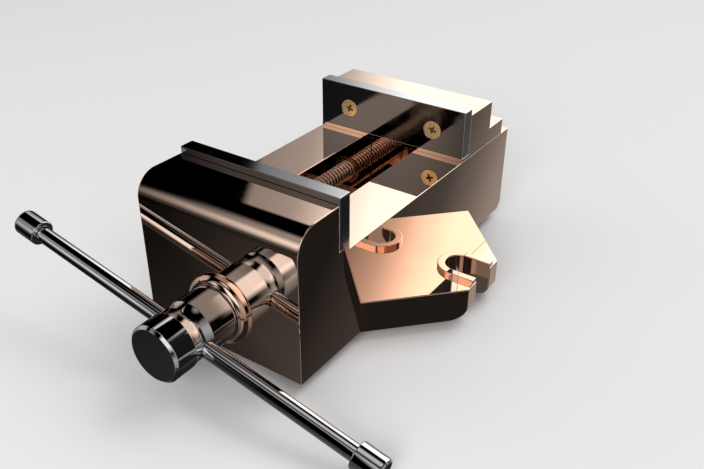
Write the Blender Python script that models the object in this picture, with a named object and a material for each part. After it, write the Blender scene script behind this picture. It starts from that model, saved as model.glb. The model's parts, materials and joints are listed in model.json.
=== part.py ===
"""Bench vise with a front jaw cast in one with its base and a rear jaw that a lead screw draws in.

Axes: +X is the right-hand side seen from the handle, +Y runs along the screw towards the rear jaw,
+Z is up. The origin is on the bench face, midway between the two mounting slots.
The jaws stand open, and the tommy bar hangs a little down on its right side.
"""
import math

import bmesh
import bpy
from mathutils import Matrix, Vector

MM = 0.001
GAP = 0.3 * MM                      # clearance between pieces that touch

# ---------------------------------------------------------------- driving dimensions
JAW_WIDTH = 100 * MM
JAW_TOP = 84 * MM                   # top of both castings above the bench
WAY_TOP = 57 * MM                   # top of the slideways
OPENING = 114.5 * MM                # gap between the jaw plates as modelled
FRONT_Y = -110 * MM                 # front face of the base casting
FRONT_JAW_DEPTH = 32 * MM
REAR_Y = 108 * MM                   # rear end of the base casting
FRONT_JAW_ROUND = 13 * MM           # radius along the front jaw's top front edge

PLATE_DEPTH = 8.5 * MM
PLATE_BOTTOM = 59.7 * MM
PLATE_TOP = 87.8 * MM
PLATE_SCREW_X = 29.3 * MM
PLATE_SCREW_Z = 72.5 * MM
PLATE_HEAD_RADIUS = 5.4 * MM
PLATE_SHANK_RADIUS = 3 * MM
PLATE_SHANK_LENGTH = 14 * MM
PLATE_HEAD_DEPTH = 3.2 * MM
PLATE_HEAD_RIM = 0.4 * MM
PLATE_SCREW_LENGTH = 17.5 * MM
PLATE_EDGE = 0.4 * MM
RECESS_ARM = 3.1 * MM               # half length and half width of the cross recess
RECESS_WING = 0.7 * MM
RECESS_DEPTH = 1.9 * MM

CHANNEL_HALF = 18.4 * MM            # half width between the two ways
CAVITY_HALF = 25.5 * MM             # undercut below the ways, for the keeper plate
CAVITY_TOP = 13 * MM
FLOOR_TOP = 4 * MM
REAR_WALL = 8 * MM
REAR_CHAMFER = 4 * MM
WINDOW_LEAD = 4 * MM                # keeper window's reach in front of the tongue
WINDOW_BRIDGE = 3 * MM              # floor left between the window and the rear wall
COLLAR_POCKET_TOP = 45 * MM

LUG_ROOT_HALF = 60 * MM             # half length of a lug where it meets the base
LUG_OVERLAP = 5 * MM                # how far a lug's outline runs on into the base
LUG_END_HALF = 17.4 * MM
LUG_REACH = 90.2 * MM               # from the centre plane to a lug's end face
LUG_THICKNESS = 19 * MM
LUG_UNDER_ROUND = 7 * MM
SLOT_RADIUS = 8 * MM
SLOT_CENTRE_X = 75.5 * MM
BOSS_RADIUS = 12.3 * MM
BOSS_TOP = 21.5 * MM
BOSS_SETBACK = 0.5 * MM

SCREW_Z = 25 * MM                   # height of the lead screw's axis
PITCH = 3 * MM
CREST_RADIUS = 6 * MM
ROOT_RADIUS = 4.6 * MM
JOURNAL_RADIUS = 8 * MM
TAIL_RADIUS = 5 * MM
BUSH_RADIUS = 12 * MM
TAIL_BUSH_RADIUS = 8 * MM
SPIGOT_RADIUS = 7 * MM
SPIGOT_LENGTH = 13.5 * MM
THREAD_RUNOUT = 3 * MM              # plain length between the thread and the rear wall
JOURNAL_RUNOUT = 2 * MM             # journal's length behind the collar
WASHER_THICKNESS = 2 * MM
COLLAR_RADIUS = 13.5 * MM
COLLAR_LENGTH = 9 * MM
COLLAR_EDGE = 0.8 * MM
GRUB_INSET = 0.5 * MM
GRUB_SOCKET_RADIUS = 1.3 * MM
GRUB_SOCKET_BOTTOM = 3 * MM         # below the collar's surface
PIN_RADIUS = 1.5 * MM
PIN_FROM_BACK = 6.5 * MM
PIN_DEPTH = 3 * MM                  # from the axis to the pin's inner end

BLOCK_DEPTH = 26.5 * MM             # upper part of the sliding jaw, behind its plate
SHOE_DEPTH = 44.5 * MM              # lower part of the sliding jaw, behind its plate
SHOE_TOP = 67 * MM
TONGUE_LENGTH = 30 * MM
TONGUE_BOTTOM = 12.7 * MM
KEEPER_THICKNESS = 6.6 * MM
KEEPER_HALF = 24.8 * MM
NUT_RADIUS = 9 * MM
NUT_BORE = CREST_RADIUS + GAP
NUT_FLANGE_HALF_X = 16.5 * MM
NUT_FLANGE_HALF_Z = 10 * MM
NUT_FLANGE_THICKNESS = 5 * MM
NUT_SCREW_X = 13 * MM
NUT_SCREW_SHANK = 13 * MM
NUT_SCREW_HEAD_RADIUS = 3.2 * MM
NUT_SCREW_HEAD_HEIGHT = 2.6 * MM
NUT_TAPPING_DEPTH = 10 * MM
KEEPER_SCREW_X = 13.6 * MM
KEEPER_SCREW_INSET = 6 * MM
KEEPER_SCREW_SHANK = 12 * MM
KEEPER_SCREW_HEAD_RADIUS = 4.2 * MM
KEEPER_SCREW_HEAD_HEIGHT = 3 * MM
KEEPER_TAPPING_DEPTH = 9.5 * MM
SMALL_SHANK_RADIUS = 2.4 * MM

HEAD_RADIUS = 15.2 * MM
HEAD_LENGTH = 40.4 * MM
HEAD_CHAMFER = 1.4 * MM
WAIST_CENTRE = 26.4 * MM            # shallow round waist, in front of the base casting
WAIST_HALF = 6 * MM
WAIST_DEPTH = 0.7 * MM
BAR_FROM_FRONT_JAW = 24.6 * MM      # tommy bar's axis in front of the base casting
BAR_RADIUS = 4.25 * MM
BAR_TILT = math.radians(12.2)       # right end down
BAR_SHOULDER = 100.6 * MM           # half length between the caps
CAP_RADIUS = 6.75 * MM
CAP_LENGTH = 14.5 * MM
CAP_EDGE = 0.6 * MM
CAP_DOME = 1.6 * MM
CAP_SPIGOT_RADIUS = 3.2 * MM
CAP_SPIGOT_LENGTH = 8 * MM
FLANGE_RADIUS = 19 * MM
FLANGE_THICKNESS = 4 * MM
FLANGE_ROUND = 3.3 * MM

# ---------------------------------------------------------------- places that follow from them
HALF = JAW_WIDTH / 2
FRONT_JAW_BACK = FRONT_Y + FRONT_JAW_DEPTH
FRONT_PLATE_FACE = FRONT_JAW_BACK + PLATE_DEPTH
REAR_PLATE_FACE = FRONT_PLATE_FACE + OPENING
BLOCK_FRONT = REAR_PLATE_FACE + PLATE_DEPTH
TONGUE_FRONT = BLOCK_FRONT + 0.5 * MM
TONGUE_BACK = TONGUE_FRONT + TONGUE_LENGTH
BAR_Y = FRONT_Y - BAR_FROM_FRONT_JAW
HEAD_BACK = FRONT_Y - FLANGE_THICKNESS - 2 * GAP
AXIS = Vector((0, 0, SCREW_Z))
SCREW_INTO_FRONT = Matrix.Rotation(math.radians(90), 4, "X")      # local +Z to world -Y
ALONG_SCREW = Matrix.Rotation(math.radians(-90), 4, "X")          # local +Z to world +Y
BAR_FRAME = (Matrix.Translation((0, BAR_Y, SCREW_Z))
             @ Matrix.Rotation(math.radians(90) + BAR_TILT, 4, "Y"))


# ---------------------------------------------------------------- scene and materials
def clear_scene():
    for thing in list(bpy.data.objects):
        bpy.data.objects.remove(thing, do_unlink=True)


def make_material(name, colour, roughness, metallic=1.0):
    material = bpy.data.materials.new(name)
    material.use_nodes = True
    shader = material.node_tree.nodes["Principled BSDF"]
    shader.inputs["Base Color"].default_value = (*colour, 1.0)
    shader.inputs["Roughness"].default_value = roughness
    shader.inputs["Metallic"].default_value = metallic
    return material


def make_materials():
    return {
        "casting": make_material("polished_casting", (0.78, 0.60, 0.52), 0.12),
        "steel": make_material("ground_steel", (0.62, 0.62, 0.61), 0.25),
        "chrome": make_material("chromed_steel", (0.80, 0.80, 0.80), 0.08),
        "brass": make_material("brass", (0.80, 0.62, 0.30), 0.25),
        "bronze": make_material("bearing_bronze", (0.66, 0.45, 0.24), 0.35),
        "dark": make_material("blackened_steel", (0.08, 0.08, 0.085), 0.45),
    }


# ---------------------------------------------------------------- shapes
def add_object(name, bm, material=None, frame=None, smooth=True):
    """Make an object from a bmesh, placed by frame. Without a material it is a hidden cutter."""
    bmesh.ops.recalc_face_normals(bm, faces=bm.faces)
    mesh = bpy.data.meshes.new(name)
    bm.to_mesh(mesh)
    bm.free()
    thing = bpy.data.objects.new(name, mesh)
    bpy.context.scene.collection.objects.link(thing)
    if frame is not None:
        thing.matrix_world = frame
    if material is None:
        thing.hide_render = True
        thing.display_type = "WIRE"
        return thing
    mesh.materials.append(material)
    if smooth:
        mesh.shade_smooth()
        mesh.set_sharp_from_angle(angle=math.radians(35))
    return thing


def box(lo, hi, bevel=0.0, segments=1):
    """A box from its lowest to its highest corner, with an even bevel on every edge."""
    bm = bmesh.new()
    bmesh.ops.create_cube(bm, size=1.0)
    lo, hi = Vector(lo), Vector(hi)
    bmesh.ops.scale(bm, vec=hi - lo, verts=bm.verts)
    bmesh.ops.translate(bm, vec=(lo + hi) / 2, verts=bm.verts)
    if bevel:
        bmesh.ops.bevel(bm, geom=bm.edges[:], offset=bevel, segments=segments, affect="EDGES")
    return bm


def prism(outline, bottom, top):
    """An upright prism over an outline of (x, y) points."""
    bm = bmesh.new()
    face = bm.faces.new([bm.verts.new((x, y, bottom)) for x, y in outline])
    raised = bmesh.ops.extrude_face_region(bm, geom=[face])["geom"]
    corners = [item for item in raised if isinstance(item, bmesh.types.BMVert)]
    bmesh.ops.translate(bm, vec=(0, 0, top - bottom), verts=corners)
    return bm


def lathe(profile, segments=32, hollow=False):
    """Turn (height, radius) points about +Z: hollow joins the last point to the first."""
    bm = bmesh.new()
    rings = []
    for height, radius in profile:
        if radius == 0:
            rings.append([bm.verts.new((0, 0, height))])
            continue
        angles = [2 * math.pi * step / segments for step in range(segments)]
        rings.append([bm.verts.new((radius * math.cos(a), radius * math.sin(a), height))
                      for a in angles])
    pairs = list(zip(rings, rings[1:]))
    if hollow:
        pairs.append((rings[-1], rings[0]))
    for low, high in pairs:
        for step in range(segments):
            after = (step + 1) % segments
            corners = []
            for corner in (low[step % len(low)], low[after % len(low)],
                           high[after % len(high)], high[step % len(high)]):
                if corner not in corners:
                    corners.append(corner)
            bm.faces.new(corners)
    return bm


def cylinder(radius, bottom, top, segments=32):
    return lathe([(bottom, 0), (bottom, radius), (top, radius), (top, 0)], segments)


def tube(outer, inner, bottom, top, edge=0.0, segments=32):
    """A plain tube whose outer edges are broken by edge."""
    profile = [(bottom, inner), (bottom, outer - edge), (bottom + edge, outer),
               (top - edge, outer), (top, outer - edge), (top, inner)]
    if not edge:
        profile = [(bottom, inner), (bottom, outer), (top, outer), (top, inner)]
    return lathe(profile, segments, hollow=True)


def combine(target, tool, operation):
    modifier = target.modifiers.new(tool.name, "BOOLEAN")
    modifier.operation = operation
    modifier.object = tool
    modifier.solver = "EXACT"
    return target


def cut(target, name, bm, frame=None):
    return combine(target, add_object(name + "_cutter", bm, frame=frame), "DIFFERENCE")


def join(target, name, bm, frame=None):
    return combine(target, add_object(name + "_added", bm, frame=frame), "UNION")


def on_screw_axis(y=0.0):
    """Frame of a turned piece on the lead screw's axis, its local +Z along world +Y."""
    return Matrix.Translation(AXIS + Vector((0, y, 0))) @ ALONG_SCREW


def place(x, y, z, rotation=None):
    return Matrix.Translation((x, y, z)) @ (rotation or Matrix.Identity(4))


# ---------------------------------------------------------------- base casting
def lug_outline(side):
    root_x = side * (HALF - LUG_OVERLAP)
    root_y = LUG_ROOT_HALF + LUG_OVERLAP
    end_x = side * LUG_REACH
    return [(root_x, -root_y), (end_x, -LUG_END_HALF), (end_x, LUG_END_HALF), (root_x, root_y)]


def slot_outline(side, radius, far, steps=12):
    """A U shape that reaches outwards to far, its round end towards the base."""
    arc = [math.pi / 2 + math.pi * step / steps for step in range(steps + 1)]
    points = [(SLOT_CENTRE_X + radius * math.cos(a), radius * math.sin(a)) for a in arc]
    points += [(far, -radius), (far, radius)]
    return [(side * x, y) for x, y in points]


def add_lug(base, side, name):
    lug = prism(lug_outline(side), 0, LUG_THICKNESS)
    under_edges = [edge for edge in lug.edges
                   if all(abs(v.co.z) < MM / 10 and abs(abs(v.co.x) - LUG_REACH) < MM / 10
                          for v in edge.verts)]
    bmesh.ops.bevel(lug, geom=under_edges, offset=LUG_UNDER_ROUND, segments=5, profile=0.5,
                    affect="EDGES")
    join(base, name, lug)
    boss = slot_outline(side, BOSS_RADIUS, LUG_REACH - BOSS_SETBACK)
    join(base, name + "_boss", prism(boss, LUG_THICKNESS - MM, BOSS_TOP))
    slot = slot_outline(side, SLOT_RADIUS, LUG_REACH + MM)
    cut(base, name + "_slot", prism(slot, -MM, BOSS_TOP + MM))


def front_jaw_profile(steps=8):
    """Side outline of the front jaw and the ways, as (y, z) points."""
    round_y = FRONT_Y + FRONT_JAW_ROUND
    round_z = JAW_TOP - FRONT_JAW_ROUND
    arc = [math.pi - math.pi / 2 * step / steps for step in range(steps + 1)]
    rounded = [(round_y + FRONT_JAW_ROUND * math.cos(a), round_z + FRONT_JAW_ROUND * math.sin(a))
               for a in arc]
    ledge = PLATE_BOTTOM - GAP
    return [(FRONT_Y, 0)] + rounded + [
        (FRONT_JAW_BACK, JAW_TOP), (FRONT_JAW_BACK, ledge), (FRONT_PLATE_FACE, ledge),
        (FRONT_PLATE_FACE, WAY_TOP), (REAR_Y, WAY_TOP), (REAR_Y, REAR_CHAMFER),
        (REAR_Y - REAR_CHAMFER, 0)]


def side_prism(outline, half_width):
    """A prism across X over an outline of (y, z) points."""
    bm = bmesh.new()
    face = bm.faces.new([bm.verts.new((-half_width, y, z)) for y, z in outline])
    grown = bmesh.ops.extrude_face_region(bm, geom=[face])["geom"]
    corners = [item for item in grown if isinstance(item, bmesh.types.BMVert)]
    bmesh.ops.translate(bm, vec=(2 * half_width, 0, 0), verts=corners)
    return bm


def make_base(materials):
    body = side_prism(front_jaw_profile(), HALF)
    base = add_object("base_casting", body, materials["casting"])
    add_lug(base, 1, "right_lug")
    add_lug(base, -1, "left_lug")
    rear_wall_front = REAR_Y - REAR_WALL
    cut(base, "channel", box((-CHANNEL_HALF, FRONT_PLATE_FACE, FLOOR_TOP),
                             (CHANNEL_HALF, rear_wall_front, WAY_TOP + MM)))
    cut(base, "collar_pocket", box((-CHANNEL_HALF, FRONT_JAW_BACK, FLOOR_TOP),
                                   (CHANNEL_HALF, FRONT_PLATE_FACE + MM, COLLAR_POCKET_TOP)))
    cut(base, "undercut", box((-CAVITY_HALF, FRONT_PLATE_FACE, FLOOR_TOP),
                              (CAVITY_HALF, rear_wall_front, CAVITY_TOP)))
    window_half = KEEPER_HALF + GAP
    cut(base, "keeper_window", box((-window_half, TONGUE_FRONT - WINDOW_LEAD, -MM),
                                   (window_half, rear_wall_front - WINDOW_BRIDGE,
                                    FLOOR_TOP + MM)))
    bush_hole = cylinder(BUSH_RADIUS + GAP, FRONT_Y - MM, FRONT_JAW_BACK + MM)
    cut(base, "bush_hole", bush_hole, on_screw_axis())
    tail_hole = cylinder(TAIL_BUSH_RADIUS + GAP, rear_wall_front - MM, REAR_Y + MM)
    cut(base, "tail_hole", tail_hole, on_screw_axis())
    for side, name in ((-1, "left"), (1, "right")):
        hole = cylinder(PLATE_SHANK_RADIUS + GAP, 0, PLATE_SHANK_LENGTH, 16)
        cut(base, "front_" + name + "_tapping", hole,
            place(side * PLATE_SCREW_X, FRONT_JAW_BACK + MM, PLATE_SCREW_Z, SCREW_INTO_FRONT))
    return base


# ---------------------------------------------------------------- jaw plates and their screws
def countersink(clearance):
    """Cutter for a countersunk screw whose face is flush with local Z = 0."""
    rim = PLATE_HEAD_RADIUS + clearance
    neck = PLATE_SHANK_RADIUS + clearance
    return lathe([(-MM, 0), (-MM, rim), (PLATE_HEAD_RIM, rim), (PLATE_HEAD_DEPTH, neck),
                  (PLATE_DEPTH + MM, neck), (PLATE_DEPTH + MM, 0)], 24)


def make_plate_screw(name, frame, materials):
    """A countersunk screw with a cross recess, its head at local Z = 0."""
    inset = 0.1 * MM
    tip = PLATE_SCREW_LENGTH
    body = lathe([(inset, 0), (inset, PLATE_HEAD_RADIUS), (PLATE_HEAD_RIM, PLATE_HEAD_RADIUS),
                  (PLATE_HEAD_DEPTH, PLATE_SHANK_RADIUS), (tip - MM, PLATE_SHANK_RADIUS),
                  (tip, PLATE_SHANK_RADIUS - MM), (tip, 0)], 24)
    screw = add_object(name, body, materials["brass"], frame)
    for letter, half_x, half_y in (("a", RECESS_ARM, RECESS_WING), ("b", RECESS_WING, RECESS_ARM)):
        recess = box((-half_x, -half_y, -MM), (half_x, half_y, RECESS_DEPTH))
        cut(screw, name + "_recess_" + letter, recess, frame)
    return screw


def make_jaw_plate(name, face_y, back_y, screw_rotation, materials):
    low, high = min(face_y, back_y), max(face_y, back_y)
    if back_y > face_y:
        high -= GAP
    else:
        low += GAP
    shape = box((-HALF, low, PLATE_BOTTOM), (HALF, high, PLATE_TOP), PLATE_EDGE)
    plate = add_object(name, shape, materials["steel"])
    for side, side_name in ((-1, "left"), (1, "right")):
        frame = place(side * PLATE_SCREW_X, face_y, PLATE_SCREW_Z, screw_rotation)
        cut(plate, name + "_" + side_name, countersink(GAP), frame)
        screw_name = name.replace("jaw_plate", "plate_screw_") + side_name
        make_plate_screw(screw_name, frame, materials)
    return plate


# ---------------------------------------------------------------- sliding jaw
def sliding_jaw_profile():
    """Side outline of the sliding jaw above the ways, as (y, z) points."""
    bottom = WAY_TOP + GAP
    ledge = PLATE_BOTTOM - GAP
    block_back = BLOCK_FRONT + BLOCK_DEPTH
    shoe_back = BLOCK_FRONT + SHOE_DEPTH
    return [(REAR_PLATE_FACE, bottom), (REAR_PLATE_FACE, ledge), (BLOCK_FRONT, ledge),
            (BLOCK_FRONT, JAW_TOP), (block_back, JAW_TOP), (block_back, SHOE_TOP),
            (shoe_back, SHOE_TOP), (shoe_back, bottom)]


def keeper_screw_places():
    front = TONGUE_FRONT + KEEPER_SCREW_INSET
    back = TONGUE_BACK - KEEPER_SCREW_INSET
    return [(x, y) for y in (front, back) for x in (-KEEPER_SCREW_X, KEEPER_SCREW_X)]


def make_sliding_jaw(materials):
    jaw = add_object("sliding_jaw", side_prism(sliding_jaw_profile(), HALF), materials["casting"])
    tongue_half = CHANNEL_HALF - GAP
    join(jaw, "tongue", box((-tongue_half, TONGUE_FRONT, TONGUE_BOTTOM),
                            (tongue_half, TONGUE_BACK, WAY_TOP + 2 * MM)))
    bore = cylinder(NUT_RADIUS + GAP, TONGUE_FRONT - MM, TONGUE_BACK + MM)
    cut(jaw, "nut_bore", bore, on_screw_axis())
    for side, name in ((-1, "left"), (1, "right")):
        hole = cylinder(PLATE_SHANK_RADIUS + GAP, 0, PLATE_SHANK_LENGTH, 16)
        cut(jaw, "rear_" + name + "_tapping", hole,
            place(side * PLATE_SCREW_X, BLOCK_FRONT - MM, PLATE_SCREW_Z, ALONG_SCREW))
        nut_hole = cylinder(SMALL_SHANK_RADIUS + GAP, -NUT_TAPPING_DEPTH, MM, 12)
        cut(jaw, "nut_" + name + "_tapping", nut_hole,
            place(side * NUT_SCREW_X, TONGUE_BACK, SCREW_Z, ALONG_SCREW))
    for number, (x, y) in enumerate(keeper_screw_places(), 1):
        hole = cylinder(SMALL_SHANK_RADIUS + GAP, -MM, KEEPER_TAPPING_DEPTH, 12)
        cut(jaw, "keeper_tapping_%d" % number, hole, place(x, y, TONGUE_BOTTOM))
    return jaw


def make_lead_nut(materials):
    """A flanged nut pushed into the tongue from behind."""
    flange_front = TONGUE_BACK + GAP
    flange_back = flange_front + NUT_FLANGE_THICKNESS
    body = tube(NUT_RADIUS, NUT_BORE, TONGUE_FRONT, flange_back)
    nut = add_object("lead_nut", body, materials["bronze"], on_screw_axis())
    flange = box((-NUT_FLANGE_HALF_X, flange_front, SCREW_Z - NUT_FLANGE_HALF_Z),
                 (NUT_FLANGE_HALF_X, flange_back, SCREW_Z + NUT_FLANGE_HALF_Z))
    flange_bore = cylinder(NUT_BORE, flange_front - MM, flange_back + MM)
    join(nut, "nut_flange", flange)
    cut(nut, "nut_flange_bore", flange_bore, on_screw_axis())
    for side, name in ((-1, "left"), (1, "right")):
        centre = place(side * NUT_SCREW_X, 0, SCREW_Z, ALONG_SCREW)
        hole = cylinder(SMALL_SHANK_RADIUS + GAP, flange_front - MM, flange_back + MM, 12)
        cut(nut, "nut_hole_" + name, hole, centre)
        make_cap_screw("nut_screw_" + name,
                       place(side * NUT_SCREW_X, flange_back + GAP, SCREW_Z, SCREW_INTO_FRONT),
                       NUT_SCREW_SHANK, NUT_SCREW_HEAD_RADIUS, NUT_SCREW_HEAD_HEIGHT, materials)
    return nut


def make_cap_screw(name, frame, shank, head_radius, head_height, materials):
    """A socket head screw: its head's seat at local Z = 0, its shank along local +Z."""
    body = lathe([(-head_height, 0), (-head_height, head_radius), (0, head_radius),
                  (0, SMALL_SHANK_RADIUS), (shank, SMALL_SHANK_RADIUS), (shank, 0)], 16)
    screw = add_object(name, body, materials["dark"], frame)
    socket = cylinder(head_radius * 0.5, -head_height - MM, -head_height * 0.4, 6)
    cut(screw, name + "_socket", socket, frame)
    return screw


def make_keeper(materials):
    top = TONGUE_BOTTOM - GAP
    bottom = top - KEEPER_THICKNESS
    shape = box((-KEEPER_HALF, TONGUE_FRONT + MM, bottom), (KEEPER_HALF, TONGUE_BACK - MM, top))
    keeper = add_object("keeper_plate", shape, materials["steel"])
    seat = bottom + KEEPER_SCREW_HEAD_HEIGHT + 0.4 * MM
    for number, (x, y) in enumerate(keeper_screw_places(), 1):
        cut(keeper, "keeper_seat_%d" % number,
            cylinder(KEEPER_SCREW_HEAD_RADIUS + GAP, bottom - MM, seat, 16), place(x, y, 0))
        cut(keeper, "keeper_hole_%d" % number,
            cylinder(SMALL_SHANK_RADIUS + GAP, seat - MM, top + MM, 12), place(x, y, 0))
        make_cap_screw("keeper_screw_%d" % number, place(x, y, seat - GAP), KEEPER_SCREW_SHANK,
                       KEEPER_SCREW_HEAD_RADIUS, KEEPER_SCREW_HEAD_HEIGHT, materials)
    return keeper


# ---------------------------------------------------------------- spindle
def make_bushes(materials):
    """The flanged bush in the front jaw and the plain bush in the base's rear wall."""
    flange_front = FRONT_Y - GAP - FLANGE_THICKNESS
    flange_back = FRONT_Y - GAP
    inner = JOURNAL_RADIUS + GAP
    steps = 4
    corner = [(flange_front + FLANGE_ROUND * (1 - math.sin(a)),
               FLANGE_RADIUS - FLANGE_ROUND * (1 - math.cos(a)))
              for a in [math.pi / 2 * (1 - step / steps) for step in range(steps + 1)]]
    profile = [(flange_front, inner)] + corner + [
        (flange_back, FLANGE_RADIUS), (flange_back, BUSH_RADIUS),
        (FRONT_JAW_BACK, BUSH_RADIUS), (FRONT_JAW_BACK, inner)]
    add_object("spindle_bush", lathe(profile, 40, hollow=True), materials["casting"],
               on_screw_axis())
    tail = tube(TAIL_BUSH_RADIUS, TAIL_RADIUS + GAP, REAR_Y - REAR_WALL, REAR_Y - MM)
    add_object("tail_bush", tail, materials["bronze"], on_screw_axis())


def waist_arc(steps=6):
    """Points along the waist's hollow, an arc through its two edges and its deepest point."""
    arc_radius = (WAIST_HALF ** 2 + WAIST_DEPTH ** 2) / (2 * WAIST_DEPTH)
    reach = math.asin(WAIST_HALF / arc_radius)
    angles = [reach * (2 * step / steps - 1) for step in range(steps + 1)]
    middle = FRONT_Y - WAIST_CENTRE
    floor = HEAD_RADIUS - WAIST_DEPTH
    return [(middle + arc_radius * math.sin(a), floor + arc_radius * (1 - math.cos(a)))
            for a in angles]


def make_spindle_head(materials):
    """The chromed round head with a shallow waist and the cross hole for the tommy bar."""
    front = HEAD_BACK - HEAD_LENGTH
    profile = [(front, 0), (front, HEAD_RADIUS - HEAD_CHAMFER), (front + HEAD_CHAMFER, HEAD_RADIUS)]
    profile += waist_arc() + [(HEAD_BACK, HEAD_RADIUS), (HEAD_BACK, 0)]
    body = lathe(profile, 40)
    head = add_object("spindle_head", body, materials["chrome"], on_screw_axis())
    bore = cylinder(SPIGOT_RADIUS + GAP, HEAD_BACK - SPIGOT_LENGTH - GAP, HEAD_BACK + MM)
    cut(head, "spigot_bore", bore, on_screw_axis())
    cut(head, "bar_hole", cylinder(BAR_RADIUS + GAP, -20 * MM, 20 * MM, 24), BAR_FRAME)
    pin_hole = cylinder(PIN_RADIUS + GAP, -HEAD_RADIUS - MM, 0, 12)
    cut(head, "head_pin_hole", pin_hole, place(0, HEAD_BACK - PIN_FROM_BACK, SCREW_Z))
    return head


def threaded_rod(start, end, segments=12):
    """A right-hand thread about +Z: each turn's rows climb one pitch as the angle goes round."""
    rows = [(0.0, ROOT_RADIUS), (0.18, ROOT_RADIUS), (0.42, CREST_RADIUS), (0.76, CREST_RADIUS)]
    turns = int((end - start) / PITCH) - 1
    bm = bmesh.new()

    def vertex(column, row):
        turn, place_in_turn = divmod(row, len(rows))
        share, radius = rows[place_in_turn]
        angle = 2 * math.pi * column / segments
        height = start + PITCH * (turn + share + column / segments)
        return bm.verts.new((radius * math.cos(angle), radius * math.sin(angle), height))

    count = turns * len(rows)
    columns = [[vertex(0, row) for row in range(count + len(rows) + 1)]]
    columns += [[vertex(column, row) for row in range(count + 1)] for column in range(1, segments)]
    for column in range(segments):
        here = columns[column]
        last = column == segments - 1
        there = columns[0][len(rows):] if last else columns[column + 1]
        for row in range(count):
            bm.faces.new((here[row], here[row + 1], there[row + 1], there[row]))
    first_loop = [column[0] for column in columns] + columns[0][len(rows):0:-1]
    last_loop = [column[count] for column in columns] + columns[0][count + len(rows):count:-1]
    for loop, height in ((first_loop, start), (last_loop, start + PITCH * (turns + 1))):
        centre = bm.verts.new((0, 0, height))
        for here, there in zip(loop, loop[1:] + loop[:1]):
            bm.faces.new((here, there, centre))
    return bm


def make_lead_screw(materials):
    """Spigot, journal, thread and tail journal in one piece."""
    collar_back = FRONT_JAW_BACK + WASHER_THICKNESS + COLLAR_LENGTH + 3 * GAP
    journal_end = collar_back + JOURNAL_RUNOUT
    tail_start = REAR_Y - REAR_WALL - THREAD_RUNOUT
    rod = threaded_rod(journal_end - PITCH, tail_start - MM)
    screw = add_object("lead_screw", rod, materials["steel"], on_screw_axis())
    front = HEAD_BACK - SPIGOT_LENGTH
    journal = lathe([(front, 0), (front, SPIGOT_RADIUS), (HEAD_BACK + GAP, SPIGOT_RADIUS),
                     (HEAD_BACK + GAP, JOURNAL_RADIUS), (journal_end - MM, JOURNAL_RADIUS),
                     (journal_end, JOURNAL_RADIUS - MM), (journal_end, 0)], 32)
    join(screw, "journal", journal, on_screw_axis())
    shoulder = CREST_RADIUS + 0.1 * MM
    tail = lathe([(tail_start - 2 * PITCH, 0), (tail_start - 2 * PITCH, shoulder),
                  (tail_start, shoulder), (tail_start, TAIL_RADIUS),
                  (REAR_Y - 2 * MM, TAIL_RADIUS), (REAR_Y - 2 * MM, 0)], 24)
    join(screw, "tail", tail, on_screw_axis())
    pin_hole = cylinder(PIN_RADIUS + GAP, -SPIGOT_RADIUS - MM, -PIN_DEPTH + GAP, 12)
    cut(screw, "spigot_pin_hole", pin_hole, place(0, HEAD_BACK - PIN_FROM_BACK, SCREW_Z))
    return screw


def make_spindle_fittings(materials):
    """The pin that holds the head, and the washer and collar that take the thrust."""
    pin = cylinder(PIN_RADIUS, -HEAD_RADIUS + GAP, -PIN_DEPTH, 12)
    add_object("head_pin", pin, materials["dark"], place(0, HEAD_BACK - PIN_FROM_BACK, SCREW_Z))
    inner = JOURNAL_RADIUS + GAP
    washer_front = FRONT_JAW_BACK + GAP
    collar_front = washer_front + WASHER_THICKNESS + GAP
    washer = tube(COLLAR_RADIUS, inner, washer_front, washer_front + WASHER_THICKNESS)
    add_object("thrust_washer", washer, materials["bronze"], on_screw_axis())
    shape = tube(COLLAR_RADIUS, inner, collar_front, collar_front + COLLAR_LENGTH,
                 COLLAR_EDGE)
    collar = add_object("retaining_collar", shape, materials["steel"], on_screw_axis())
    centre = place(0, collar_front + COLLAR_LENGTH / 2, SCREW_Z)
    hole = cylinder(SMALL_SHANK_RADIUS + GAP, 0, COLLAR_RADIUS + MM, 16)
    cut(collar, "grub_hole", hole, centre)
    grub = cylinder(SMALL_SHANK_RADIUS, inner, COLLAR_RADIUS - GRUB_INSET, 16)
    grub_screw = add_object("collar_grub_screw", grub, materials["dark"], centre)
    socket = cylinder(GRUB_SOCKET_RADIUS, COLLAR_RADIUS - GRUB_SOCKET_BOTTOM, COLLAR_RADIUS, 6)
    cut(grub_screw, "grub_socket", socket, centre)


# ---------------------------------------------------------------- tommy bar
def make_tommy_bar(materials):
    """The sliding bar and the cap screwed onto each of its ends."""
    spigot = CAP_SPIGOT_RADIUS
    half = BAR_SHOULDER + CAP_SPIGOT_LENGTH
    bar = lathe([(-half, 0), (-half, spigot), (-BAR_SHOULDER, spigot),
                 (-BAR_SHOULDER, BAR_RADIUS), (BAR_SHOULDER, BAR_RADIUS),
                 (BAR_SHOULDER, spigot), (half, spigot), (half, 0)], 24)
    add_object("handle_bar", bar, materials["chrome"], BAR_FRAME)
    inner_face = BAR_SHOULDER + GAP
    outer_face = inner_face + CAP_LENGTH
    bottom = half + GAP
    edge = CAP_EDGE
    dome = CAP_DOME
    profile = [(bottom, 0), (bottom, spigot + GAP), (inner_face, spigot + GAP),
               (inner_face, CAP_RADIUS - edge), (inner_face + edge, CAP_RADIUS),
               (outer_face - dome, CAP_RADIUS), (outer_face - dome / 3, CAP_RADIUS - dome / 3),
               (outer_face, CAP_RADIUS - dome), (outer_face, 0)]
    turned_round = BAR_FRAME @ Matrix.Rotation(math.radians(180), 4, "Y")
    for name, frame in (("handle_cap_right", BAR_FRAME), ("handle_cap_left", turned_round)):
        add_object(name, lathe(profile, 32), materials["chrome"], frame)


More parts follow.
